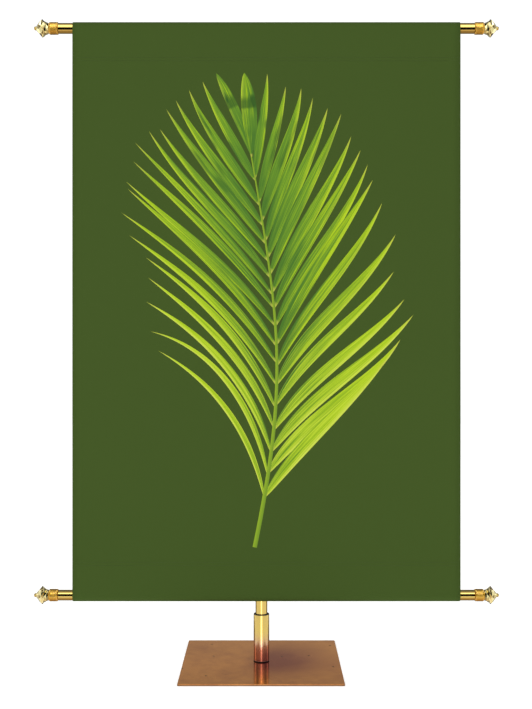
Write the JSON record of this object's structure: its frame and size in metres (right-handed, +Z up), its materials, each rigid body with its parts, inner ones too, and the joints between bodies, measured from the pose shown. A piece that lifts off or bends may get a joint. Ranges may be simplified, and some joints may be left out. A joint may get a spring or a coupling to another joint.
{
  "type": "cloth banner on a brass floor stand",
  "caption": "Upright cloth banner with a printed palm frond, hung between two brass rods with cut finials, on a pole in a square plate.",
  "frame": {"origin": "on the underside of the base plate, under the pole's axis and in the middle of the plate", "axes": "+X to the right across the banner, +Y to the back (the printed side faces -Y), +Z up"},
  "size_m": [0.7338, 0.25, 1.0229],
  "materials": {
    "printed_cloth": "matte printed polyester, dark olive green",
    "polished_brass": "polished",
    "ringed_brass": "ringed, half bright",
    "cut_brass": "cut in facets and polished",
    "brown_brass": "polished, toned brown"
  },
  "bodies": {
    "root": {"banner_cloth": "printed_cloth", "top_rod": "polished_brass", "bottom_rod": "polished_brass", "top_ferrule_left": "ringed_brass", "top_ferrule_right": "ringed_brass", "bottom_ferrule_left": "ringed_brass", "bottom_ferrule_right": "ringed_brass", "top_finial_left": "cut_brass", "top_finial_right": "cut_brass", "bottom_finial_left": "cut_brass", "bottom_finial_right": "cut_brass", "rod_hook": "polished_brass", "pole": "polished_brass", "pole_socket": "polished_brass", "base_plate": "brown_brass"}
  },
  "joints": []
}
